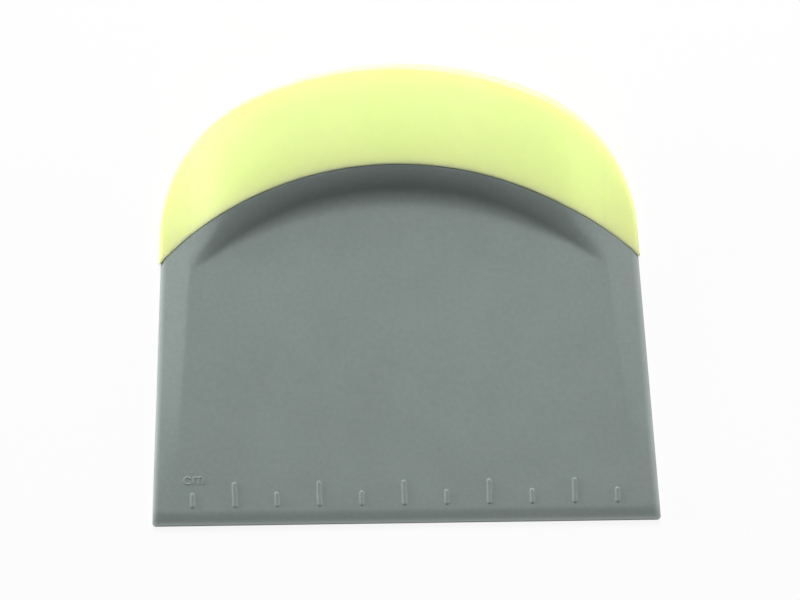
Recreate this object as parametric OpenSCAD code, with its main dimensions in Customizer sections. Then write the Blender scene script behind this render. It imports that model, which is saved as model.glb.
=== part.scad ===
// Bowl scraper: a stiff moulded blade with a raised centimetre scale beside its
// scraping edge, and a soft grip moulded over a plate that the blade carries.
// Millimetres. The scraper lies on its flat back and +Z is the front face. +X runs
// along the scraping edge and +Y points from that edge to the grip. The origin is
// on the back, in the middle of the overall width and height.

/* [Outline] */
// Width along the scraping edge
edge_w = 119.8; // [112:0.2:140]
// Height from the scraping edge to the top of the grip
overall_h = 107.8; // [104:0.2:116]
// Lean of each side towards the grip, in degrees
side_lean = 3.6; // [2:0.1:5]
// Radius of the long arc along the top of the grip
top_r = 82.2; // [74:0.2:90]
// Radius of the grip's two rounded corners
grip_corner_r = 37.5; // [26:0.5:42]
// Radius of the two corners of the scraping edge
edge_corner_r = 0.9; // [0.4:0.1:3]

/* [Blade] */
// Thickness of the blunt scraping edge
edge_t = 1; // [0.6:0.1:1.2]
// Width of the level land along the scraping edge
land_w = 0.6; // [0.2:0.1:1.2]
// Distance from the scraping edge to the back of its bevel
bevel_h = 3.3; // [2:0.1:3.8]
// Thickness of the flat field behind the bevel
field_t = 1.6; // [1.3:0.1:2.4]
// Thickness of the field where it meets the ramp
root_t = 3.6; // [3:0.1:4.4]
// Thickness of the two side edges
side_t = 1; // [0.8:0.1:2.4]
// Slope of the bands and of the ridge's ends down to the side edges, in degrees
band_slope = 20; // [14:0.5:24]

/* [Ridge] */
// Height of the ridge's crest over the field that it rises from
crest_rise = 5.5; // [5:0.1:7]
// Radius of the swell that makes the crest
swell_r = 19; // [16:0.5:22]
// Steepest slope of the ramp up to the ridge, in degrees
ramp_slope = 41; // [36:1:43]
// Slope of the ramp where it meets the seam, in degrees
seam_slope = 21; // [17:1:26]
// Slope of the grip where it starts at the seam, in degrees
dome_slope = 5; // [3:1:14]
// Radius of the arc along the foot of the ramp
foot_r = 81.8; // [76:0.1:92]
// Radius of the ridge's broad back, from the crest to the rim
brow_r = 110; // [40:5:160]

/* [Seam] */
// Radius of the arc along which the grip meets the blade
seam_r = 80; // [77:0.5:84]
// Height of the grip at the middle, from the seam to its top
grip_h = 22.8; // [20:0.1:27]
// Distance from the seam to the crest of the ridge
crest_back = 7; // [5:0.1:9]
// How far the soft grip stands proud of the blade
proud = 0.4; // [0.2:0.05:0.6]

/* [Tang] */
// Thickness of the plate inside the grip
tang_t = 2.6; // [1.4:0.1:3]
// Thickness of the soft skin behind the plate
back_skin = 1; // [0.6:0.1:1.2]
// Width of soft grip left outside the plate
tang_inset = 5; // [4:0.2:7]
// Width of the plate
tang_w = 88; // [76:1:92]
// Diameter of the keying holes that the grip fills
key_d = 6; // [4:0.5:8]
// Number of keying holes
key_count = 5; // [1:1:5]
// Angle between two keying holes around the seam's centre
key_step = 11; // [9:0.5:12]
// Distance from the seam to the centres of the keying holes
key_back = 9; // [7:0.5:11]

/* [Scale] */
// Distance between two marks
mark_pitch = 10; // [8:0.5:10.4]
// Number of marks on each side of the middle one
side_marks = 5; // [1:1:5]
// Width of a mark
mark_w = 1.1; // [0.8:0.1:1.6]
// Length of a short mark
short_mark_l = 3.6; // [2.5:0.1:5]
// Length of a long mark
long_mark_l = 6; // [4:0.1:8]
// Distance from the scraping edge to the marks
mark_y = 4.4; // [4:0.1:6]
// Height of the marks over the field
mark_relief = 0.2; // [0.15:0.05:0.5]
// Height of the unit's two letters
letter_h = 2; // [1.8:0.1:2.6]
// Stroke of the letters
letter_stroke = 0.4; // [0.3:0.05:0.5]
// Distance from the first mark up to the letters
letter_gap = 1.9; // [1:0.1:3]
// Height of the letters over the field
letter_relief = 0.1; // [0.1:0.05:0.3]

/* [Hidden] */
// Fineness of round cuts, and the angle between two points of a drawn arc
$fn = 96;
arc_step = 4;
// A length that reaches past every surface, and small depths that sink one shape in another
far = 150;
over = 30;
sink = 0.05;
root_overlap = 3;
// Width of each arch of the letter m, as a share of the height of the letters
arch_share = 0.75;

// The seam hangs from the top of the grip, so the grip keeps its height
seam_centre_y = overall_h - grip_h - seam_r;

// The ridge's section is a hollow and a swell up to the seam, a dome up to the crest, and a
// broad back that turns until it is under the level of the plate
dome_r = crest_back / sin(dome_slope);
seam_rise = crest_rise - dome_r * (1 - cos(dome_slope));
hollow_r = (seam_rise - swell_r * (cos(seam_slope) - cos(ramp_slope))) / (1 - cos(ramp_slope));
swell_start = hollow_r + swell_r;
ramp_w = swell_start * sin(ramp_slope) - swell_r * sin(seam_slope);
crest_r = foot_r + ramp_w + crest_back;
brow_sink = 1;
brow_turn = acos(1 - (crest_rise + brow_sink) / brow_r);
foot_y = overall_h - grip_h - ramp_w;
field_slope = atan((root_t - field_t) / (foot_y - bevel_h));

// The grip's corner circle touches the top arc and the side line, and is found by halving
top_centre_y = overall_h - top_r;
lean = tan(side_lean);
function side_x(y, wider) = edge_w / 2 - y * lean + wider / cos(side_lean);
function under_top_y(x) = top_centre_y + sqrt(pow(top_r - grip_corner_r, 2) - x * x);
function room(x) = side_x(under_top_y(x), proud - grip_corner_r) - x;
function halved(low, high, turns) =
    turns == 0 ? low
    : room((low + high) / 2) > 0 ? halved((low + high) / 2, high, turns - 1)
    : halved(low, (low + high) / 2, turns - 1);
grip_corner_x = halved(0, top_r - grip_corner_r, 40);
grip_corner_y = under_top_y(grip_corner_x);
top_turn = asin(grip_corner_x / (top_r - grip_corner_r));

// Points of an arc, with angles clockwise from +Y, and without its first point
function arc(centre, r, from, to) =
    let (n = ceil(abs(to - from) / arc_step))
    [for (i = [1:n]) let (a = from + (to - from) * i / n) centre + r * [sin(a), cos(a)]];

// The right half of an outline at a distance inside the grip's, from its top to its side
function crown(inset) = concat(
    [[0, overall_h - inset]],
    arc([0, top_centre_y], top_r - inset, 0, top_turn),
    arc([grip_corner_x, grip_corner_y], grip_corner_r - inset, top_turn, 90 - side_lean));

module both_halves(right) {
    left = [for (i = [len(right) - 1:-1:1]) [-right[i].x, right[i].y]];
    polygon(concat(right, left));
}

module crown_outline(inset) {
    both_halves(concat(crown(inset), [[side_x(0, proud - inset), 0]]));
}

module blade_outline() {
    corner = [side_x(edge_corner_r, -edge_corner_r), edge_corner_r];
    side_point = corner + edge_corner_r * [cos(side_lean), sin(side_lean)];
    both_halves(concat(crown(proud), [side_point], arc(corner, edge_corner_r, 90 - side_lean, 180)));
}

// Everything on the blade's side of the seam
module seam_disc(r) {
    translate([0, seam_centre_y, -over])
        cylinder(r = r, h = far);
}

// The plate without its side bands, raised all over its front by a distance
module plain_plate(rise) {
    side_view = [
        [-over, 0],
        [-over, edge_t + rise],
        [land_w, edge_t + rise],
        [bevel_h, field_t + rise],
        [foot_y, root_t + rise],
        [far, root_t + rise],
        [far, 0]];
    translate([-far, 0, 0])
        rotate([90, 0, 90])
            linear_extrude(2 * far)
                polygon(side_view);
}

// The ridge's section, as distance from its centre and height over the field
module ridge_section(rise) {
    start = [foot_r, hollow_r] + swell_start * [sin(ramp_slope), -cos(ramp_slope)];
    hollow = arc([foot_r, hollow_r], hollow_r - rise, 180, 180 - ramp_slope);
    swell = arc(start, swell_r + rise, -ramp_slope, -seam_slope);
    dome = arc([crest_r, crest_rise - dome_r], dome_r + rise, -dome_slope, 0);
    brow = arc([crest_r, crest_rise - brow_r], brow_r + rise, 0, brow_turn);
    rim_r = brow[len(brow) - 1].x;
    foot = [[foot_r, -root_t], [foot_r, rise]];
    polygon(concat(foot, hollow, swell, dome, brow, [[rim_r, -root_t]]));
}

// The ridge turns about its own centre, square to the field
module ridge(rise) {
    translate([0, foot_y, root_t])
        rotate([field_slope, 0, 0])
            translate([0, -foot_r, -sink])
                rotate_extrude()
                    ridge_section(rise);
}

// What is cut away over the right side band
module over_band(rise) {
    translate([side_x(0, 0), 0, side_t + rise])
        rotate([0, band_slope, side_lean])
            translate([-far, -far, 0])
                cube([2 * far, 2 * far, far]);
}

module front(rise) {
    difference() {
        union() {
            plain_plate(rise);
            ridge(rise);
        }
        over_band(rise);
        mirror([1, 0, 0]) over_band(rise);
    }
}

module mark(length) {
    round_r = mark_w / 2;
    translate([-round_r, round_r]) square([mark_w, length - mark_w]);
    translate([0, round_r]) circle(round_r);
    translate([0, length - round_r]) circle(round_r);
}

module scale_marks() {
    for (i = [-side_marks:side_marks])
        translate([i * mark_pitch, mark_y])
            mark((i + side_marks) % 2 == 0 ? short_mark_l : long_mark_l);
}

module ring(r) {
    difference() {
        circle(r);
        circle(r - letter_stroke);
    }
}

module letter_c() {
    r = letter_h / 2;
    translate([r, r])
        difference() {
            ring(r);
            polygon([[0, 0], [letter_h, letter_h], [letter_h, -letter_h]]);
        }
}

module letter_m() {
    arch_r = arch_share * letter_h / 2;
    shoulder_y = letter_h - arch_r;
    arch_pitch = 2 * arch_r - letter_stroke;
    for (i = [0:2])
        translate([i * arch_pitch, 0]) square([letter_stroke, shoulder_y]);
    for (i = [0:1])
        translate([i * arch_pitch + arch_r, shoulder_y])
            difference() {
                ring(arch_r);
                translate([-letter_h, -letter_h]) square([2 * letter_h, letter_h]);
            }
}

module unit_letters() {
    translate([-side_marks * mark_pitch - letter_h, mark_y + short_mark_l + letter_gap]) {
        letter_c();
        translate([letter_h + letter_stroke / 2, 0]) letter_m();
    }
}

// A flat drawing raised over the field by a distance
module raised(relief) {
    intersection() {
        translate([0, 0, field_t / 2]) linear_extrude(far) children();
        plain_plate(relief);
    }
}

module tang() {
    translate([0, 0, back_skin])
        linear_extrude(tang_t)
            difference() {
                intersection() {
                    crown_outline(tang_inset);
                    translate([-tang_w / 2, 0]) square([tang_w, far]);
                }
                translate([0, seam_centre_y]) circle(seam_r - root_overlap);
                for (i = [0:key_count - 1])
                    translate([0, seam_centre_y])
                        rotate((i - (key_count - 1) / 2) * key_step)
                            translate([0, seam_r + key_back]) circle(d = key_d);
            }
}

module blade() color([0.53, 0.56, 0.54]) {
    translate([0, -overall_h / 2, 0]) {
        intersection() {
            front(0);
            linear_extrude(far) blade_outline();
            seam_disc(seam_r);
        }
        raised(mark_relief) scale_marks();
        raised(letter_relief) unit_letters();
        tang();
    }
}

module grip() color([0.80, 0.96, 0.40]) {
    translate([0, -overall_h / 2, 0])
        difference() {
            intersection() {
                front(proud);
                linear_extrude(far) crown_outline(0);
            }
            seam_disc(seam_r);
            tang();
        }
}

blade();
grip();
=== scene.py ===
# %% [markdown]
# # A bowl scraper, modelled as two mouldings
# The scraper is a stiff grey blade with a soft lime grip moulded over its top.
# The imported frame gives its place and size, and this lesson gives it its finished
# surfaces: rounded rims, a raised centimetre scale, a fine mould texture and light.
# It starts by loading the frame and keeping the box that everything has to stay in.

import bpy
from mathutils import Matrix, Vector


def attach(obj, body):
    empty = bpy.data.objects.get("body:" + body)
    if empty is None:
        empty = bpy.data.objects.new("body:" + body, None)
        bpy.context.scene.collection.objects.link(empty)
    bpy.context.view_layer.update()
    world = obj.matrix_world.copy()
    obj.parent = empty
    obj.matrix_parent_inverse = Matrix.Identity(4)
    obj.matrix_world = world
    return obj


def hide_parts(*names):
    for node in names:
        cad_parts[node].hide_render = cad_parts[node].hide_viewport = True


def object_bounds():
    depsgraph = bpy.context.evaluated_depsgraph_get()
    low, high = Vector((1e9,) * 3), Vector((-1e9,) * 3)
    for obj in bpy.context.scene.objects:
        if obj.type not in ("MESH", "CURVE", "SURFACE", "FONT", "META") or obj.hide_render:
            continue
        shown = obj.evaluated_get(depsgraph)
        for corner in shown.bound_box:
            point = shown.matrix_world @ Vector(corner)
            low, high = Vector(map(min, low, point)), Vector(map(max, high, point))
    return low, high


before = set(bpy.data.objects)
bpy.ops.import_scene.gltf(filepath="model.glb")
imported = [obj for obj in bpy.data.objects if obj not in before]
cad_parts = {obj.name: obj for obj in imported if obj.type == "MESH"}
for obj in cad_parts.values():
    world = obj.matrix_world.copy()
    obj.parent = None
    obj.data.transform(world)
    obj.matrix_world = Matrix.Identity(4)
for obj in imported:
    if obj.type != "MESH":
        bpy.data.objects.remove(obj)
cad_low, cad_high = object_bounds()
print("box in metres:", [round(high - low, 5) for low, high in zip(cad_low, cad_high)])

# %% Import what the lesson uses
import math

import bpy
import numpy as np
from mathutils import Matrix, Vector
from mathutils.geometry import delaunay_2d_cdt

# %% [markdown]
# ## Sizes
# A moulding is drawn in millimetres, with y measured up from the scraping edge, so
# the sizes here read as they would on a drawing. Only the last step turns them into
# metres in the frame, whose origin lies in the middle of the back. The height comes
# from the frame, and the other values repeat those that the solids were built from.

# %% Sizes of the two mouldings, in millimetres
MM = 0.001
OVERALL_H = (cad_high.y - cad_low.y) / MM
EDGE_W = 119.8
SIDE_LEAN = math.radians(3.6)
EDGE_CORNER_R = 0.9
TOP_R = 82.2
GRIP_CORNER_R = 37.5
GRIP_H = 22.8
SEAM_R = 80.0
PROUD = 0.4
seam_top_y = OVERALL_H - GRIP_H
seam_centre_y = seam_top_y - SEAM_R
print("overall height, mm:", round(OVERALL_H, 2), "seam's centre at", round(seam_centre_y, 2))

# %% Thicknesses of the plate, in millimetres
EDGE_T = 1.0
LAND_W = 0.6
BEVEL_H = 3.3
FIELD_T = 1.6
ROOT_T = 3.6
SIDE_T = 1.0

# %% Sizes of the ridge, in millimetres
CREST_RISE = 5.5
SWELL_R = 19
RAMP_SLOPE = math.radians(41)
SEAM_SLOPE = math.radians(21)
DOME_SLOPE = math.radians(5)
FOOT_R = 81.8
CREST_BACK = 7
BROW_R = 110
dome_r = CREST_BACK / math.sin(DOME_SLOPE)
seam_rise = CREST_RISE - dome_r * (1 - math.cos(DOME_SLOPE))
hollow_rise = seam_rise - SWELL_R * (math.cos(SEAM_SLOPE) - math.cos(RAMP_SLOPE))
hollow_r = hollow_rise / (1 - math.cos(RAMP_SLOPE))
top_run = (hollow_r + SWELL_R) * math.sin(RAMP_SLOPE)
top_rise = (hollow_r + SWELL_R) * (1 - math.cos(RAMP_SLOPE))
ramp_w = top_run - SWELL_R * math.sin(SEAM_SLOPE)
foot_y = seam_top_y - ramp_w
foot_centre_y = foot_y - FOOT_R
field_rise = (ROOT_T - FIELD_T) / (foot_y - BEVEL_H)
print("the ramp starts", round(ramp_w, 2), "mm under the seam, in a hollow of", round(hollow_r, 2))

# %% [markdown]
# ## The front as a height map
# Nothing on the front overhangs, because a moulding has to leave its mould. So the
# whole front can be written as one height over the flat back for each point (x, y).
# Box modelling would do too, but a formula keeps the two mouldings on one surface,
# and the blends where two faces meet are then a number instead of a row of loops.

# %% Blends between two heights
def soft_min(a, b, width):
    width = np.maximum(width, 1e-9)
    overlap = np.maximum(width - np.abs(a - b), 0) / width
    return np.minimum(a, b) - overlap ** 2 * width / 4


def soft_max(a, b, width):
    return -soft_min(-a, -b, width)


print("two equal heights blend to", round(float(soft_min(np.array(1.0), np.array(1.0), 0.4)), 3))

# %% Distance from a point to the side of the blade
def side_x(y, inset=0.0):
    return EDGE_W / 2 - y * math.tan(SIDE_LEAN) - inset / math.cos(SIDE_LEAN)


def side_distance(x, y):
    return (side_x(y) - np.abs(x)) * math.cos(SIDE_LEAN)


print("half width at the seam's height, mm:", round(side_x(62.0), 2))

# %% [markdown]
# ## The plate
# The blade thins towards its scraping edge, so that it slides under dough. At the
# edge a bevel runs down to a narrow level land, which wears longer than a knife edge
# would. Along each side a band falls to a thin edge. Lower down it grows level and
# runs out, so its surface twists, which a formula does without any extra points.

# %% Height of the plate
BEVEL_BLEND = 0.16
BAND_START_Y = 4
BAND_FULL_Y = 34
BAND_FOOT_W = 5.0
BAND_SPREAD = 0.037
BAND_TOP_Y = 62
BAND_STEEPEN = 0.001


def smooth(low, high, value):
    share = np.clip((value - low) / (high - low), 0, 1)
    return share ** 2 * (3 - 2 * share)


def field_height(y):
    return FIELD_T + field_rise * (y - BEVEL_H)


def plate_height(y):
    bevel = EDGE_T + (FIELD_T - EDGE_T) * (y - LAND_W) / (BEVEL_H - LAND_W)
    bevel = soft_max(bevel, EDGE_T, BEVEL_BLEND / 3)
    return soft_min(field_height(y), bevel, BEVEL_BLEND)


def band_height(x, y):
    distance = side_distance(x, y)
    over_top = np.maximum(y - BAND_TOP_Y, 0)
    y = np.minimum(y, BAND_TOP_Y)
    width = BAND_FOOT_W + BAND_SPREAD * y
    fall = (field_height(y) - SIDE_T) * smooth(BAND_START_Y, BAND_FULL_Y, y)
    slope = fall / width + BAND_STEEPEN * over_top ** 2
    return field_height(y) - fall + slope * distance


print("field at the middle, mm:", round(float(plate_height(50.0)), 2))
print("side edge at the same height, mm:", round(float(band_height(side_x(50.0), 50.0)), 2))

# %% [markdown]
# ## The ridge
# Under the grip the front swells into a ridge that the fingers close around. Its
# section turns about a centre below the scraping edge: a hollow leaves the field and
# a swell runs up to the seam. The grip carries on from the height that the blade has
# at the seam, as a low dome with a nearly level back. The ridge loses height from
# the middle to the sides, where the two side bands cut it off.

# %% Height of the whole front
BAND_BLEND = 0.06
END_BLEND = 0.3
END_BLEND_MOST = 1.0
RIDGE_W = 96.6
END_TAPER = 0.35
END_POWER = 5.3
END_SHIFT = 1.4
SEAM_HALF_W = 56
HOLLOW_LEAST = 0.2


def ridge_section(run, curve_r):
    crown_r = hollow_r + SWELL_R - curve_r
    bend = curve_r * math.sin(RAMP_SLOPE)
    hollow = curve_r - np.sqrt(np.maximum(curve_r ** 2 - run ** 2, 0))
    swell = top_rise - crown_r + np.sqrt(np.maximum(crown_r ** 2 - (top_run - run) ** 2, 0))
    return np.where(run < 0, 0, np.where(run < bend, hollow, swell))


def ridge_lift(x, y):
    aside = np.clip(np.abs(2 * x / RIDGE_W), 0, 1)
    run = np.hypot(x, y - foot_centre_y) - FOOT_R - END_SHIFT * aside ** END_POWER
    run = run / (1 - END_TAPER * aside ** 4)
    curve_r = hollow_r * np.maximum(1 - aside ** 3, HOLLOW_LEAST)
    return ridge_section(np.minimum(run, top_run), curve_r) * (1 - aside ** END_POWER)


def front_height(x, y):
    lift = ridge_lift(x, y)
    blend = np.clip(END_BLEND * lift, BAND_BLEND, END_BLEND_MOST)
    return soft_min(plate_height(y) + lift, band_height(x, y), blend)


def dome_height(past_seam):
    to_crest = CREST_BACK - past_seam
    near = np.sqrt(dome_r ** 2 - np.clip(to_crest, 0, CREST_BACK) ** 2) - dome_r
    brow = np.sqrt(BROW_R ** 2 - np.minimum(to_crest, 0) ** 2) - BROW_R
    return near + brow + dome_r * (1 - math.cos(DOME_SLOPE))


def grip_height(x, y):
    aside = np.minimum(np.abs(x), SEAM_HALF_W)
    seam_y = seam_centre_y + np.sqrt(SEAM_R ** 2 - aside ** 2)
    past_seam = np.maximum(np.hypot(x, y - seam_centre_y) - SEAM_R, 0)
    return front_height(aside, seam_y) + dome_height(past_seam)


print("seam and crest in the middle, mm:", [round(float(grip_height(0.0, seam_top_y + past)), 2)
                                           for past in (0, CREST_BACK)])

# %% [markdown]
# ## The raised scale
# The mould has eleven shallow slots and the unit's letters cut into it, so on the
# part they stand up. Separate ribs laid on the blade would show a hard line around
# their foot. Here each rib adds its height to the front by its distance to the
# nearest mark, which gives it the soft foot and round top that polishing leaves.

# %% Sizes of the scale, in millimetres
MARK_PITCH = 10
SIDE_MARKS = 5
MARK_W = 1.1
SHORT_MARK_L = 3.6
LONG_MARK_L = 6
MARK_Y = 4.4
MARK_RELIEF = 0.2
MARK_FLANK = 0.36
LETTER_H = 2.0
LETTER_STROKE = 0.4
LETTER_GAP = 1.9
LETTER_RELIEF = 0.1
LETTER_FLANK = 0.18


def mark_length(step):
    return SHORT_MARK_L if (step + SIDE_MARKS) % 2 == 0 else LONG_MARK_L


letters_x = -SIDE_MARKS * MARK_PITCH - LETTER_H
letters_y = MARK_Y + SHORT_MARK_L + LETTER_GAP
print("letters start at", letters_x, letters_y)

# %% Distances to straight and round strokes
def to_upright(x, y, at_x, low, high):
    return np.hypot(x - at_x, y - np.clip(y, low, high))


def to_arc(x, y, at_x, at_y, r, middle, reach):
    turn = np.arctan2(y - at_y, x - at_x) - middle
    turn = np.clip((turn + math.pi) % (2 * math.pi) - math.pi, -reach, reach) + middle
    return np.hypot(x - at_x - r * np.cos(turn), y - at_y - r * np.sin(turn))


def letter_distance(x, y):
    half = LETTER_STROKE / 2
    round_r = LETTER_H / 2 - half
    near = to_arc(x, y, letters_x + LETTER_H / 2, letters_y + LETTER_H / 2, round_r, math.pi,
                  0.75 * math.pi)
    arch_r = 0.75 * LETTER_H / 2 - half
    stem_x = letters_x + LETTER_H + 2 * half
    arch_y = letters_y + LETTER_H - half - arch_r
    for step in range(3):
        at_x = stem_x + 2 * arch_r * step
        near = np.minimum(near, to_upright(x, y, at_x, letters_y + half, arch_y))
    for step in range(2):
        at_x = stem_x + arch_r * (2 * step + 1)
        near = np.minimum(near, to_arc(x, y, at_x, arch_y, arch_r, math.pi / 2, math.pi / 2))
    return near


print("the letters' middle is", round(float(letter_distance(letters_x, letters_y)), 2), "mm off")

# %% Height that the scale adds
def raised_by(distance, half_width, flank, relief):
    inward = np.clip((half_width + flank / 2 - distance) / flank, 0, 1)
    return relief * inward ** 2 * (3 - 2 * inward)


def scale_height(x, y):
    added = raised_by(letter_distance(x, y), LETTER_STROKE / 2, LETTER_FLANK, LETTER_RELIEF)
    for step in range(-SIDE_MARKS, SIDE_MARKS + 1):
        half = MARK_W / 2
        ends = MARK_Y + half, MARK_Y + mark_length(step) - half
        distance = to_upright(x, y, step * MARK_PITCH, *ends)
        added = np.maximum(added, raised_by(distance, half - MARK_FLANK / 4, MARK_FLANK, MARK_RELIEF))
    return added


print("a mark stands", float(scale_height(0.0, MARK_Y + 3)), "mm over the field")

# %% [markdown]
# ## Outlines
# The grip's outline is a long arc along the top, a tighter arc at each corner and a
# straight side that leans in. The corner arc has to touch both of its neighbours,
# so its centre is found by halving an interval until it does. The blade's outline
# has the same sides, a little further in, and small rounds on its scraping corners.

# %% Find the corner arc of the grip
top_centre_y = OVERALL_H - TOP_R


def under_top_y(x):
    return top_centre_y + math.sqrt((TOP_R - GRIP_CORNER_R) ** 2 - x ** 2)


low, high = 0.0, TOP_R - GRIP_CORNER_R
for turn in range(40):
    middle = (low + high) / 2
    if side_x(under_top_y(middle), GRIP_CORNER_R - PROUD) > middle:
        low = middle
    else:
        high = middle
corner_x = low
corner_y = under_top_y(corner_x)
top_turn = math.asin(corner_x / (TOP_R - GRIP_CORNER_R))
print("corner arc centre, mm:", round(corner_x, 2), round(corner_y, 2))

# %% Rows of points along arcs and lines
def arc_row(x, y, r, start, end, pitch):
    count = max(2, math.ceil(abs(end - start) * r / pitch))
    turn = np.linspace(start, end, count + 1)
    return np.stack([x + r * np.sin(turn), y + r * np.cos(turn)], axis=1)


def line_row(start, end, pitch):
    count = max(1, math.ceil(math.dist(start, end) / pitch))
    return np.linspace(start, end, count + 1)


def closed(rows):
    points = np.concatenate(rows)
    gaps = np.hypot(*(points - np.roll(points, 1, axis=0)).T)
    return points[gaps > 1e-4]


def mirrored(row):
    return (row * [-1, 1])[::-1]


def side_meets(r, inset):
    """Where a side line that lies inset from the blade's side meets a circle about the seam's centre."""
    slope = math.tan(SIDE_LEAN)
    half = side_x(seam_centre_y, inset)
    up = (half * slope + math.sqrt(r ** 2 * (1 + slope ** 2) - half ** 2)) / (1 + slope ** 2)
    return side_x(seam_centre_y + up, inset), seam_centre_y + up


print("the seam meets the side at", [round(v, 2) for v in side_meets(SEAM_R, 0)])

# %% Outline of the blade and of the grip, drawn further in by an inset
def blade_outline(inset, reach, pitch):
    radius = max(EDGE_CORNER_R - inset, 0.05)
    centre_y = max(EDGE_CORNER_R, inset + radius)
    centre_x = side_x(centre_y, inset + radius)
    corner = arc_row(centre_x, centre_y, radius, math.pi, math.pi / 2 - SIDE_LEAN, 0.15)
    end = side_meets(reach, inset)
    side = line_row(tuple(corner[-1]), end, pitch)
    right = np.concatenate([corner, side[1:]])
    nose = line_row((-centre_x, inset), (centre_x, inset), pitch)
    turn = math.atan2(end[0], end[1] - seam_centre_y)
    top = arc_row(0, seam_centre_y, reach, turn, -turn, pitch)
    return closed([nose, right, top, mirrored(right)])


def grip_outline(inset, seam_inset, pitch):
    reach = SEAM_R + seam_inset
    start = side_meets(reach, inset - PROUD)
    radius = GRIP_CORNER_R - inset
    corner = arc_row(corner_x, corner_y, radius, math.pi / 2 - SIDE_LEAN, top_turn, pitch)
    side = line_row(start, tuple(corner[0]), pitch)
    top = arc_row(0, top_centre_y, TOP_R - inset, top_turn, -top_turn, pitch)
    right = np.concatenate([side, corner[1:]])
    turn = math.atan2(start[0], start[1] - seam_centre_y)
    seam = arc_row(0, seam_centre_y, reach, -turn, turn, pitch)
    return closed([right, top, mirrored(right), seam])


print("points round the blade:", len(blade_outline(0, SEAM_R, 0.8)))
print("points round the grip:", len(grip_outline(0, 0, 0.8)))

# %% [markdown]
# ## From points to a closed mesh
# A grid would need loops as fine as the letters all across the blade. A Delaunay
# triangulation takes points of any density: rings that follow the outline carry the
# rounded rims, close rows follow each crease, and wide rows fill the flat field.
# The same ring of points closes the front, the rim's wall and the back.

# %% Fill an outline with triangles
def triangulate(outline, points):
    spots = np.concatenate([outline, points])
    rim = [(i, (i + 1) % len(outline)) for i in range(len(outline))]
    found = delaunay_2d_cdt([Vector(p) for p in spots], rim, [], 1, 1e-6)
    flat = np.array([tuple(p) for p in found[0]])
    source = [ids[0] for ids in found[3] if ids]
    assert len(flat) == len(spots) and source == list(range(len(spots)))
    return flat, np.array([tuple(face) for face in found[2]])


def rounding(depth, width, fall):
    inward = np.clip(1 - depth / width, 0, 1)
    return fall * (1 - np.sqrt(1 - inward ** 2))


def ring_insets(radius, steps):
    turns = np.linspace(0, math.pi / 2, steps + 1)
    return list(radius * (1 - np.cos(turns))) + [radius * 1.4, radius * 1.4 + 0.4]


print("insets of a rounded rim, mm:", [round(float(v), 3) for v in ring_insets(1.2, 4)])

# %% Close a front and a back into one solid
def solid(name, outline, front, back):
    (front_xy, front_z, front_faces) = front
    (back_xy, back_z, back_faces) = back
    count, ring = len(front_xy), len(outline)
    xy = np.concatenate([front_xy, back_xy])
    z = np.concatenate([front_z, back_z])
    places = np.stack([xy[:, 0], xy[:, 1] - OVERALL_H / 2, z], axis=1) * MM
    faces = [tuple(face) for face in front_faces]
    faces += [tuple(face[::-1] + count) for face in back_faces]
    for i in range(ring):
        j = (i + 1) % ring
        faces.append((i, i + count, j + count, j))
    mesh = bpy.data.meshes.new(name)
    mesh.from_pydata([tuple(p) for p in places], [], faces)
    mesh.validate()
    mesh.polygons.foreach_set("use_smooth", [True] * len(mesh.polygons))
    piece = bpy.data.objects.new(name, mesh)
    bpy.context.scene.collection.objects.link(piece)
    print(name, "has", len(mesh.vertices), "points and", len(mesh.polygons), "faces")
    return piece


# %% [markdown]
# ## The blade
# The points come in families. Rings follow the outline for the rounded edges, rows
# follow the bevel, the side bands and the ramp, and a fine lattice lies under each
# mark and under the letters. The blade goes on for a millimetre under the grip, out
# of sight, so that no light shows through the seam.

# %% Families of points on the blade
UNDER_GRIP = 1.2
UNDER_GRIP_SINK = 0.25
UNDER_GRIP_LEAST = 0.3
SIDE_ROUND = 1.4
SIDE_FALL_SHARE = 0.55
EDGE_ROUND = 0.3
BLADE_BACK_ROUND = 0.3
RIM_PITCH = 0.8


def lattice(low_x, high_x, low_y, high_y, step_x, step_y):
    across = np.linspace(low_x, high_x, max(2, round((high_x - low_x) / step_x) + 1))
    up = np.linspace(low_y, high_y, max(2, round((high_y - low_y) / step_y) + 1))
    return np.stack(np.meshgrid(across, up), axis=-1).reshape(-1, 2)


def fine_boxes():
    margin = 0.35
    half = MARK_W / 2 + margin
    boxes = []
    for step in range(-SIDE_MARKS, SIDE_MARKS + 1):
        x = step * MARK_PITCH
        boxes.append((x - half, x + half, MARK_Y - margin, MARK_Y + mark_length(step) + margin))
    width = 2.6 * LETTER_H
    boxes.append((letters_x - margin, letters_x + width, letters_y - margin,
                  letters_y + LETTER_H + margin))
    return boxes


def outside_boxes(points, boxes, gap):
    keep = np.ones(len(points), bool)
    for low_x, high_x, low_y, high_y in boxes:
        across = (points[:, 0] > low_x - gap) & (points[:, 0] < high_x + gap)
        up = (points[:, 1] > low_y - gap) & (points[:, 1] < high_y + gap)
        keep &= ~(across & up)
    return points[keep]


print("fine boxes:", len(fine_boxes()))

# %% Gather the blade's points
def ramp_rows(low_r, high_r, step_r, pitch):
    rows = []
    for r in np.arange(low_r, high_r, step_r):
        x, y = side_meets(r, 0)
        turn = math.atan2(x, y - seam_centre_y)
        rows.append(arc_row(0, seam_centre_y, r, -turn, turn, pitch))
    return np.concatenate(rows)


def foot_rows(runs, pitch):
    rows = []
    for run in runs:
        row = arc_row(0, foot_centre_y, FOOT_R + run, -0.75, 0.75, pitch)
        r = np.hypot(row[:, 0], row[:, 1] - seam_centre_y)
        rows.append(row[r < SEAM_R - 0.25])
    return np.concatenate(rows)


def band_rows(insets, pitch):
    rows = []
    for inset in insets:
        right = line_row((side_x(5.0, inset), 5.0), side_meets(SEAM_R - 6, inset), pitch)
        rows += [right, mirrored(right)]
    return np.concatenate(rows)


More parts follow.
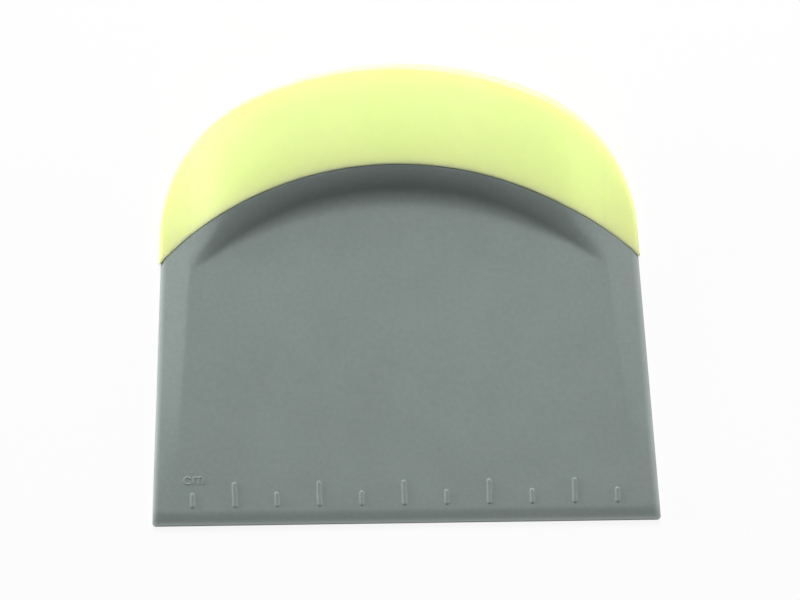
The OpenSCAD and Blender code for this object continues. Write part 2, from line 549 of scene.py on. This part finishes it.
def blade_points(rings):
    reach = SEAM_R + UNDER_GRIP
    wide = lattice(-58, 58, 5, 80, 1.6, 1.6)
    wide = wide[np.hypot(wide[:, 0], wide[:, 1] - foot_centre_y) < FOOT_R - 1.2]
    wide = wide[side_distance(wide[:, 0], wide[:, 1]) > 8.0]
    bevel = lattice(-59, 59, 0.5, 5, 1.2, 0.3)
    ramp = foot_rows([-0.6, -0.2] + list(np.arange(0, 12.4, 0.4)), 0.7)
    under = ramp_rows(SEAM_R, reach - 0.4, 0.4, 0.8)
    bands = band_rows([1.4, 2.4, 3.6, 4.6, 5.2, 5.6, 6.0, 6.3, 6.6, 6.9, 7.2, 7.6], 1.0)
    loose = np.concatenate([wide, bevel, ramp, under, bands])
    deep = side_distance(loose[:, 0], loose[:, 1]) > rings[-1] + 0.2
    deep &= loose[:, 1] > rings[-1] + 0.15
    loose = outside_boxes(loose[deep], fine_boxes(), 0.12)
    fine = [lattice(*box, 0.13, 0.13) for box in fine_boxes()[:-1]]
    fine.append(lattice(*fine_boxes()[-1], 0.09, 0.09))
    return np.concatenate([loose] + fine)


rings = ring_insets(SIDE_ROUND, 7)
inner_rings = [blade_outline(inset, SEAM_R + UNDER_GRIP - inset / 9, RIM_PITCH) for inset in rings[1:]]
blade_rim = blade_outline(0, SEAM_R + UNDER_GRIP, RIM_PITCH)
blade_loose = np.concatenate(inner_rings + [blade_points(rings)])
print("loose points on the blade:", len(blade_loose))

# %% Raise the blade's front
def edge_depth(x, y):
    """Distance to the scraping edge, and round its two corners."""
    centre_x = side_x(EDGE_CORNER_R, EDGE_CORNER_R)
    out_x = np.maximum(np.abs(x) - centre_x, 0)
    out_y = np.maximum(EDGE_CORNER_R - y, 0)
    depth = np.where(out_x * out_y > 0, EDGE_CORNER_R - np.hypot(out_x, out_y), y)
    return np.maximum(depth, 0)


def blade_front(xy):
    x, y = xy.T
    z = front_height(x, y)
    at_side = rounding(np.maximum(side_distance(x, y), 0), SIDE_ROUND, SIDE_FALL_SHARE * z)
    at_edge = rounding(edge_depth(x, y), EDGE_ROUND, EDGE_ROUND)
    z += scale_height(x, y) - np.maximum(at_side, at_edge)
    past_seam = np.maximum(np.hypot(x, y - seam_centre_y) - SEAM_R, 0)
    return z * (1 - np.minimum(UNDER_GRIP_SINK * past_seam, UNDER_GRIP_LEAST))


front_xy, front_faces = triangulate(blade_rim, blade_loose)
front = front_xy, blade_front(front_xy), front_faces
print("blade's front, mm:", round(front[1].min(), 2), "to", round(front[1].max(), 2))

# %% Close the blade's back
def blade_back(xy):
    x, y = xy.T
    depth = np.minimum(np.maximum(side_distance(x, y), 0), edge_depth(x, y))
    under = np.maximum(np.hypot(x, y - seam_centre_y) - SEAM_R, 0)
    return rounding(depth, BLADE_BACK_ROUND, BLADE_BACK_ROUND) + np.minimum(under * 0.2, 0.1)


back_rings = ring_insets(BLADE_BACK_ROUND, 4)
back_loose = [blade_outline(inset, SEAM_R + UNDER_GRIP - inset / 9, RIM_PITCH) for inset in back_rings[1:]]
back_loose += [arc_row(0, seam_centre_y, r, -0.76, 0.76, RIM_PITCH) for r in (SEAM_R - 0.4, SEAM_R)]
back_loose.append(lattice(-54, 54, 3, 48, 9, 9))
back_loose = np.concatenate(back_loose)
inside = side_distance(back_loose[:, 0], back_loose[:, 1]) > 0.02
back_xy, back_faces = triangulate(blade_rim, back_loose[inside])
back = back_xy, blade_back(back_xy), back_faces
blade = solid("blade_moulding", blade_rim, front, back)

# %% [markdown]
# ## The grip
# The grip is the softer moulding, and its edges are rounded for the hand: a round
# along the whole rim and a small lip where it stands proud of the blade.
# Rings again carry these rounds, tight ones at the seam and wider ones at the rim,
# and rows that turn about the seam's centre carry the swell between them.

# %% Gather the grip's points
RIM_ROUND = 0.7
RIM_FALL = 3.0
RIM_FALL_SHARE = 0.4
RIM_BACK_ROUND = 0.7
RIM_BACK_FALL = 0.5
LIP_PROUD = 0.2
LIP_ROUND = 0.2
LIP_BACK_ROUND = 0.18


def rim_depth(x, y):
    """Distance from a point inside the grip to its outer rim."""
    x = np.abs(x)
    turn = np.arctan2(x - corner_x, y - corner_y)
    from_corner = GRIP_CORNER_R - np.hypot(x - corner_x, y - corner_y)
    from_top = TOP_R - np.hypot(x, y - top_centre_y)
    from_side = side_distance(x, y) + PROUD
    depth = np.where(turn > math.pi / 2 - SIDE_LEAN, from_side, from_corner)
    return np.where((turn < top_turn) | (x < corner_x), from_top, depth)


def grip_points(last_rim, last_seam):
    rows = []
    for r in np.arange(SEAM_R + last_seam + 0.3, 106, 0.6):
        rows.append(arc_row(0, seam_centre_y, r, -0.8, 0.8, 0.8))
    rows = np.concatenate(rows)
    return rows[rim_depth(rows[:, 0], rows[:, 1]) > last_rim + 0.3]


rim_insets = ring_insets(RIM_ROUND, 12)
seam_insets = ring_insets(LIP_ROUND, 12)
grip_rim = grip_outline(0, 0, RIM_PITCH)
grip_loose = [grip_outline(a, b, RIM_PITCH) for a, b in zip(rim_insets[1:], seam_insets[1:])]
grip_loose.append(grip_points(rim_insets[-1], seam_insets[-1]))
grip_loose = np.concatenate(grip_loose)
print("loose points on the grip:", len(grip_loose))

# %% Raise the grip's front and close its back
def seam_depth(x, y):
    return np.maximum(np.hypot(x, y - seam_centre_y) - SEAM_R, 0)


def fallen(xy, rim_round, rim_fall, lip_round):
    x, y = xy.T
    at_rim = rounding(np.maximum(rim_depth(x, y), 0), rim_round, rim_fall)
    return np.maximum(at_rim, rounding(seam_depth(x, y), lip_round, lip_round))


front_xy, front_faces = triangulate(grip_rim, grip_loose)
front_z = grip_height(*front_xy.T) + LIP_PROUD
rim_fall = np.minimum(RIM_FALL_SHARE * front_z, RIM_FALL)
front_z -= fallen(front_xy, RIM_ROUND, rim_fall, LIP_ROUND)
rim_insets = ring_insets(RIM_BACK_ROUND, 5)
seam_insets = ring_insets(LIP_BACK_ROUND, 5)
back_loose = [grip_outline(a, b, RIM_PITCH) for a, b in zip(rim_insets[1:], seam_insets[1:])]
back_xy, back_faces = triangulate(grip_rim, np.concatenate(back_loose))
back_z = fallen(back_xy, RIM_BACK_ROUND, RIM_BACK_FALL, LIP_BACK_ROUND)
grip = solid("grip_moulding", grip_rim, (front_xy, front_z, front_faces), (back_xy, back_z, back_faces))

# %% [markdown]
# ## Hand the pieces to the frame
# Each finished moulding stands for its solid. The solid is hidden, keeps its place
# for collision, and the moulding rides on the same body.

# %% Replace the solids
for piece, node, slot in ((blade, "blade", "blade_grey"), (grip, "grip", "grip_lime")):
    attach(piece, "root")
    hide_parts(node)
print("pieces:", blade.name, grip.name)

# %% [markdown]
# ## Materials
# Both mouldings take their finish from the mould. Its steel is spark eroded, which
# leaves a fine even grain, and the plastic cools with faint cloudy patches. Coarse
# noise shifts the colour and fine noise the surface, and on the blade a middle one
# adds the mottle that shows between the two. Along the blade's sides and scraping
# edge the grey is painted paler, a painted highlight of the light that the rounded
# rims catch, and the same band is smoother where it is rubbed.
# A picture texture would fix the grain to one size, so everything here is procedural.

# %% A helper for node trees
def new_material(name):
    material = bpy.data.materials.new(name)
    material.use_nodes = True
    nodes = material.node_tree.nodes
    shader = nodes["Principled BSDF"]
    place = nodes.new("ShaderNodeTexCoord")
    return material, nodes, material.node_tree.links, shader, place


def noise(nodes, links, place, size_mm, detail):
    texture = nodes.new("ShaderNodeTexNoise")
    texture.inputs["Scale"].default_value = 1 / (size_mm * MM)
    texture.inputs["Detail"].default_value = detail
    links.new(place.outputs["Object"], texture.inputs["Vector"])
    return texture.outputs["Fac"]


def ramp(nodes, links, source, stops):
    node = nodes.new("ShaderNodeValToRGB")
    elements = node.color_ramp.elements
    for element, (at, colour) in zip(elements, stops):
        element.position = at
        element.color = (*colour, 1)
    links.new(source, node.inputs["Fac"])
    return node.outputs["Color"]


def span(nodes, links, source, low, high):
    node = nodes.new("ShaderNodeMapRange")
    node.inputs["To Min"].default_value = low
    node.inputs["To Max"].default_value = high
    links.new(source, node.inputs["Value"])
    return node.outputs["Result"]


def mixed(nodes, links, first, second, share):
    node = nodes.new("ShaderNodeMix")
    node.inputs["Factor"].default_value = share
    links.new(first, node.inputs["A"])
    links.new(second, node.inputs["B"])
    return node.outputs["Result"]


def bump(nodes, links, shader, height, depth_mm, strength):
    node = nodes.new("ShaderNodeBump")
    node.inputs["Distance"].default_value = depth_mm * MM
    node.inputs["Strength"].default_value = strength
    links.new(height, node.inputs["Height"])
    links.new(node.outputs["Normal"], shader.inputs["Normal"])


# %% Painted highlight and rubbed smoothness along the blade's edges
EDGE_BAND_W = 1.5


def maths(nodes, links, kind, *values):
    node = nodes.new("ShaderNodeMath")
    node.operation = kind
    for value, socket in zip(values, node.inputs):
        if isinstance(value, (int, float)):
            socket.default_value = value
        else:
            links.new(value, socket)
    return node.outputs["Value"]


# A band along the sides and the scraping edge: it paints a highlight into the colour and makes the rubbed
# edge smoother.
def edge_highlight_and_rub_mask(nodes, links, place):
    parts = nodes.new("ShaderNodeSeparateXYZ")
    links.new(place.outputs["Object"], parts.inputs["Vector"])
    up = maths(nodes, links, "ADD", parts.outputs["Y"], OVERALL_H / 2 * MM)
    out = maths(nodes, links, "ABSOLUTE", parts.outputs["X"])
    half = maths(nodes, links, "MULTIPLY_ADD", up, -math.tan(SIDE_LEAN), EDGE_W / 2 * MM)
    to_side = maths(nodes, links, "SUBTRACT", half, out)
    nearest = maths(nodes, links, "MINIMUM", to_side, up)
    highlight_and_rub = maths(nodes, links, "MULTIPLY_ADD", nearest, -1 / (EDGE_BAND_W * MM), 1)
    return maths(nodes, links, "MAXIMUM", highlight_and_rub, 0)


print("worn edges reach", EDGE_BAND_W, "mm in")

# %% The blade's grey
GREY_DARK = (0.222, 0.262, 0.250)
GREY_LIGHT = (0.252, 0.296, 0.284)
# Paler grey for the edges, a painted highlight.
GREY_EDGE_HIGHLIGHT = (0.33, 0.37, 0.355)


def blade_grey():
    material, nodes, links, shader, place = new_material("blade_grey")
    cloud = noise(nodes, links, place, 12, 3)
    mottle = noise(nodes, links, place, 1.0, 2)
    grain = noise(nodes, links, place, 0.32, 2)
    tone = mixed(nodes, links, cloud, mottle, 0.55)
    colour = ramp(nodes, links, tone, [(0.3, GREY_DARK), (0.7, GREY_LIGHT)])
    # The paler edge colour is a painted highlight; the lower roughness in the same band is rubbing.
    highlight_and_rub = edge_highlight_and_rub_mask(nodes, links, place)
    edge_highlight_mix = nodes.new("ShaderNodeMix")
    edge_highlight_mix.data_type = "RGBA"
    edge_highlight_mix.inputs["B"].default_value = (*GREY_EDGE_HIGHLIGHT, 1)
    links.new(highlight_and_rub, edge_highlight_mix.inputs["Factor"])
    links.new(colour, edge_highlight_mix.inputs["A"])
    links.new(edge_highlight_mix.outputs["Result"], shader.inputs["Base Color"])
    matte = span(nodes, links, grain, 0.50, 0.66)
    links.new(maths(nodes, links, "MULTIPLY_ADD", highlight_and_rub, -0.1, matte), shader.inputs["Roughness"])
    shader.inputs["Specular IOR Level"].default_value = 0.2
    bump(nodes, links, shader, grain, 0.05, 0.35)
    return material


blade.data.materials.append(blade_grey())
print("blade material:", blade.data.materials[0].name)

# %% The grip's lime
def grip_lime():
    material, nodes, links, shader, place = new_material("grip_lime")
    cloud = noise(nodes, links, place, 14, 2)
    grain = noise(nodes, links, place, 0.4, 2)
    colour = ramp(nodes, links, cloud, [(0.3, (0.77, 0.96, 0.33)), (0.7, (0.79, 0.97, 0.35))])
    links.new(colour, shader.inputs["Base Color"])
    links.new(span(nodes, links, grain, 0.52, 0.68), shader.inputs["Roughness"])
    shader.inputs["Subsurface Weight"].default_value = 1.0
    shader.inputs["Subsurface Radius"].default_value = (1.0, 1.0, 0.4)
    shader.inputs["Subsurface Scale"].default_value = 4 * MM
    bump(nodes, links, shader, grain, 0.04, 0.25)
    return material


grip.data.materials.append(grip_lime())
print("grip material:", grip.data.materials[0].name)

# %% [markdown]
# ## Floor and light
# The scraper is shown from above on a white table, so the floor is the background.
# The floor is lit like everything else, and what the camera sees of it is mixed with
# plain white, which keeps a pale shadow. A large soft lamp beyond the grip shades
# the ramp that faces away from it. A low panel on each side lights the side bands,
# and a weak lamp in front and the white surroundings fill the rest.

# %% The white table
FLOOR_SIZE = 6
TABLE_GAP = 0.05
WHITE_SHARE = 0.9
NEAR = 0.2
FAR = 1.0


def seen_ray(nodes, links):
    """One for a ray from the camera, or for its mirrored or passed-on copy."""
    path = nodes.new("ShaderNodeLightPath")
    seen = maths(nodes, links, "MAXIMUM", path.outputs["Is Camera Ray"], path.outputs["Is Glossy Ray"])
    return maths(nodes, links, "MAXIMUM", seen, path.outputs["Is Transmission Ray"])


def table_white():
    material, nodes, links, shader, place = new_material("table_white")
    shader.inputs["Base Color"].default_value = (0.9, 0.9, 0.9, 1)
    shader.inputs["Roughness"].default_value = 0.9
    white = nodes.new("ShaderNodeEmission")
    away = nodes.new("ShaderNodeVectorMath")
    away.operation = "LENGTH"
    links.new(place.outputs["Object"], away.inputs[0])
    spread = nodes.new("ShaderNodeMapRange")
    for socket, value in zip(spread.inputs[1:5], (NEAR, FAR, WHITE_SHARE, 1)):
        socket.default_value = value
    links.new(away.outputs["Value"], spread.inputs["Value"])
    share = maths(nodes, links, "MULTIPLY", seen_ray(nodes, links), spread.outputs["Result"])
    mix = nodes.new("ShaderNodeMixShader")
    links.new(share, mix.inputs["Fac"])
    links.new(shader.outputs["BSDF"], mix.inputs[1])
    links.new(white.outputs["Emission"], mix.inputs[2])
    links.new(mix.outputs["Shader"], nodes["Material Output"].inputs["Surface"])
    return material


table_mesh = bpy.data.meshes.new("table")
half = FLOOR_SIZE / 2
corners = [(-half, -half, 0), (half, -half, 0), (half, half, 0), (-half, half, 0)]
table_mesh.from_pydata(corners, [], [(0, 1, 2, 3)])
table = bpy.data.objects.new("table", table_mesh)
bpy.context.scene.collection.objects.link(table)
table.location.z = cad_low.z - TABLE_GAP * MM
table_mesh.materials.append(table_white())
print("table at z =", table.location.z)

# %% White surroundings
AMBIENT = 0.06
world = bpy.data.worlds.new("studio")
bpy.context.scene.world = world
world.use_nodes = True
nodes, links = world.node_tree.nodes, world.node_tree.links
strength = nodes.new("ShaderNodeMapRange")
strength.inputs["To Min"].default_value = AMBIENT
strength.inputs["To Max"].default_value = 1.0
links.new(seen_ray(nodes, links), strength.inputs["Value"])
links.new(strength.outputs["Result"], nodes["Background"].inputs["Strength"])
nodes["Background"].inputs["Color"].default_value = (1, 1, 1, 1)
print("surroundings at", AMBIENT)

# %% [markdown]
# A lamp is easier to judge by the share of light that it gives to a flat surface
# than by its watts. A lamp of power P at a distance d, at a height angle e over the
# table, lights the flat at P sin(e) / (pi d) squared times the surface's colour, so
# the power follows from the share. All the shares add up to about one, and a colour
# then looks in the picture as it is written.

# %% Soft lamps by direction and share of light
def soft_lamp(name, turn, rise, distance, size, share):
    turn, rise = math.radians(turn), math.radians(rise)
    way = Vector((math.sin(turn) * math.cos(rise), math.cos(turn) * math.cos(rise), math.sin(rise)))
    data = bpy.data.lights.new(name, "AREA")
    data.shape = "RECTANGLE"
    data.size, data.size_y = size
    data.energy = share * (math.pi * distance) ** 2 / math.sin(rise)
    lamp = bpy.data.objects.new(name, data)
    bpy.context.scene.collection.objects.link(lamp)
    lamp.location = way * distance
    lamp.rotation_euler = way.to_track_quat("Z", "Y").to_euler()
    return share


shares = [AMBIENT]
shares.append(soft_lamp("key_lamp", 6, 36, 1.0, (0.4, 0.4), 0.73))
shares.append(soft_lamp("left_panel", -72, 5, 2.0, (1.0, 0.3), 0.095))
shares.append(soft_lamp("right_panel", 75, 5, 2.0, (1.0, 0.3), 0.037))
shares.append(soft_lamp("front_fill", 180, 40, 1.0, (0.4, 0.4), 0.06))
print("shares add up to", round(sum(shares), 2))

# %% [markdown]
# ## Camera
# The camera looks down from 1.5 m with a long lens. It leans a few degrees, because
# the marks and the two sides don't turn by the same angle in the picture. The lens
# follows from the scale that the marks give and from that distance.

# %% Place the camera
CAMERA_DISTANCE = 1500
PIXELS_PER_MM = 4.2816
PICTURE_W = 800
LOOK_AT = (0.04, 52.47)
ROLL = math.radians(1.54)
PITCH = math.radians(5.25)
YAW = math.radians(-5.8)

leaning = Matrix.Rotation(PITCH, 3, "X") @ Matrix.Rotation(YAW, 3, "Y")
turned = Matrix.Rotation(ROLL, 3, "Z") @ leaning
target = Vector((LOOK_AT[0], LOOK_AT[1] - OVERALL_H / 2, 0)) * MM
eye = target + turned.transposed() @ Vector((0, 0, CAMERA_DISTANCE * MM))
camera_data = bpy.data.cameras.new("camera")
camera_data.sensor_width = 36
camera_data.lens = PIXELS_PER_MM * CAMERA_DISTANCE * camera_data.sensor_width / PICTURE_W
camera = bpy.data.objects.new("camera", camera_data)
bpy.context.scene.collection.objects.link(camera)
camera.matrix_world = Matrix.Translation(eye) @ turned.transposed().to_4x4()
bpy.context.scene.camera = camera
bpy.context.scene.view_settings.view_transform = "Standard"
print("lens, mm:", round(camera_data.lens, 1))
